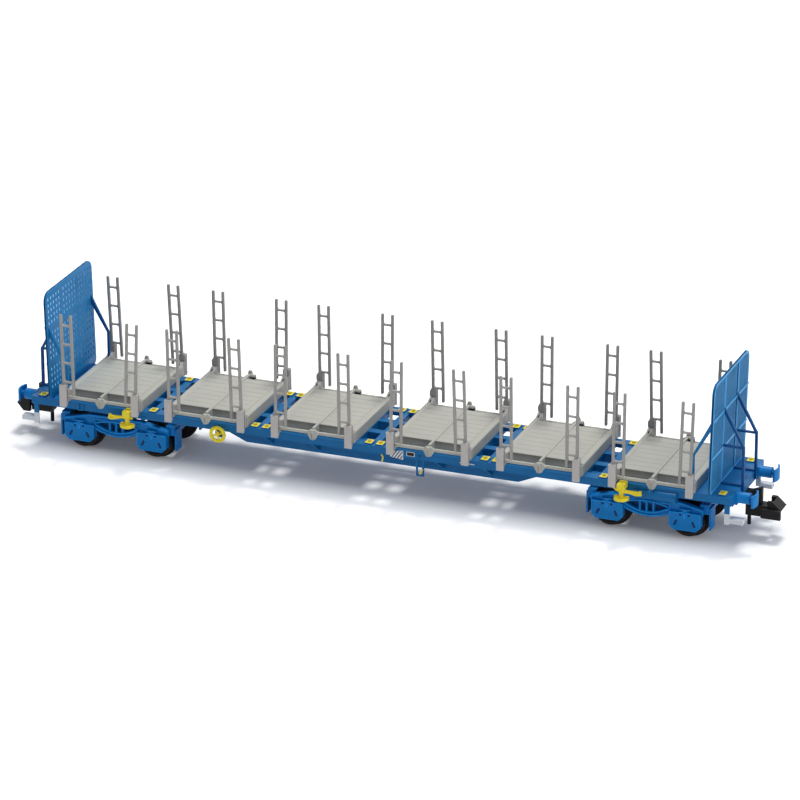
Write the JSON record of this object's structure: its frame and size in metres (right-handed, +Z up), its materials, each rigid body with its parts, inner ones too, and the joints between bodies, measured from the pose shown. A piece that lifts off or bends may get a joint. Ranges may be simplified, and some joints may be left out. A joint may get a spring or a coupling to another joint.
{
  "type": "model log carrier wagon",
  "caption": "Small-scale model of a bogie log wagon: long fish-belly frame, cradles with ladder stakes, an end wall at each end, turning bogies and swinging hook couplers.",
  "frame": {"origin": "on the floor under the wheel flanges, midway between the bogie pivots", "axes": "+X along the wagon, +Y across it, +Z up"},
  "size_m": [0.1282, 0.021, 0.0269],
  "materials": {
    "frame_blue": "satin moulded plastic",
    "wall_blue": "satin moulded plastic",
    "bogie_blue": "satin moulded plastic",
    "cradle_grey": "satin moulded plastic",
    "stake_grey": "satin moulded plastic",
    "signal_yellow": "glossy moulded plastic",
    "step_white": "painted tips",
    "coupler_black": "matt moulded plastic",
    "wheel_metal": "blackened steel",
    "steel": "turned steel"
  },
  "bodies": {
    "root": {"braces_left": "wall_blue", "braces_right": "wall_blue", "buffer_left_far": "frame_blue", "buffer_left_near": "frame_blue", "buffer_right_far": "frame_blue", "buffer_right_near": "frame_blue", "changeover_left_far": "signal_yellow", "changeover_left_near": "signal_yellow", "changeover_right_far": "signal_yellow", "changeover_right_near": "signal_yellow", "cradle_1": "cradle_grey", "cradle_2": "cradle_grey", "cradle_3": "cradle_grey", "cradle_4": "cradle_grey", "cradle_5": "cradle_grey", "cradle_6": "cradle_grey", "end_wall_left": "wall_blue", "end_wall_right": "wall_blue", "handwheel_far": "signal_yellow", "handwheel_near": "signal_yellow", "pivot_pin_left": "steel", "pivot_pin_right": "steel", "pockets_1": "cradle_grey", "pockets_2": "cradle_grey", "pockets_3": "cradle_grey", "pockets_4": "cradle_grey", "pockets_5": "cradle_grey", "pockets_6": "cradle_grey", "spigots": "signal_yellow", "stakes_1": "stake_grey", "stakes_2": "stake_grey", "stakes_3": "stake_grey", "stakes_4": "stake_grey", "stakes_5": "stake_grey", "stakes_6": "stake_grey", "steps_left": "step_white", "steps_right": "step_white", "struts_left": "wall_blue", "struts_right": "wall_blue", "underframe": "frame_blue", "winches": "coupler_black"},
    "bogie_left": {"bogie_left": "bogie_blue"},
    "coupler_left": {"coupler_left": "coupler_black"},
    "bogie_right": {"bogie_right": "bogie_blue"},
    "coupler_right": {"coupler_right": "coupler_black"},
    "wheelset_1": {"wheels_1": "wheel_metal", "axle_1": "steel"},
    "wheelset_2": {"wheels_2": "wheel_metal", "axle_2": "steel"},
    "wheelset_3": {"wheels_3": "wheel_metal", "axle_3": "steel"},
    "wheelset_4": {"wheels_4": "wheel_metal", "axle_4": "steel"}
  },
  "joints": [
    {"name": "bogie_left_swivel", "type": "hinge", "parent": "root", "child": "bogie_left", "pos_m": [-0.0444, 0, 0.0066], "axis": [0, 0, 1], "range_deg": [-14, 14]},
    {"name": "coupler_left_swing", "type": "hinge", "parent": "root", "child": "coupler_left", "pos_m": [-0.0555, 0, 0.0067], "axis": [0, 0, 1], "range_deg": [-12, 12]},
    {"name": "bogie_right_swivel", "type": "hinge", "parent": "root", "child": "bogie_right", "pos_m": [0.0444, 0, 0.0066], "axis": [0, 0, 1], "range_deg": [-14, 14]},
    {"name": "coupler_right_swing", "type": "hinge", "parent": "root", "child": "coupler_right", "pos_m": [0.0555, 0, 0.0067], "axis": [0, 0, 1], "range_deg": [-12, 12]},
    {"name": "wheelset_1_spin", "type": "hinge", "parent": "bogie_left", "child": "wheelset_1", "pos_m": [-0.05065, 0, 0.00325], "axis": [0, 1, 0], "continuous": true},
    {"name": "wheelset_2_spin", "type": "hinge", "parent": "bogie_left", "child": "wheelset_2", "pos_m": [-0.03815, 0, 0.00325], "axis": [0, 1, 0], "continuous": true},
    {"name": "wheelset_3_spin", "type": "hinge", "parent": "bogie_right", "child": "wheelset_3", "pos_m": [0.03815, 0, 0.00325], "axis": [0, 1, 0], "continuous": true},
    {"name": "wheelset_4_spin", "type": "hinge", "parent": "bogie_right", "child": "wheelset_4", "pos_m": [0.05065, 0, 0.00325], "axis": [0, 1, 0], "continuous": true}
  ]
}
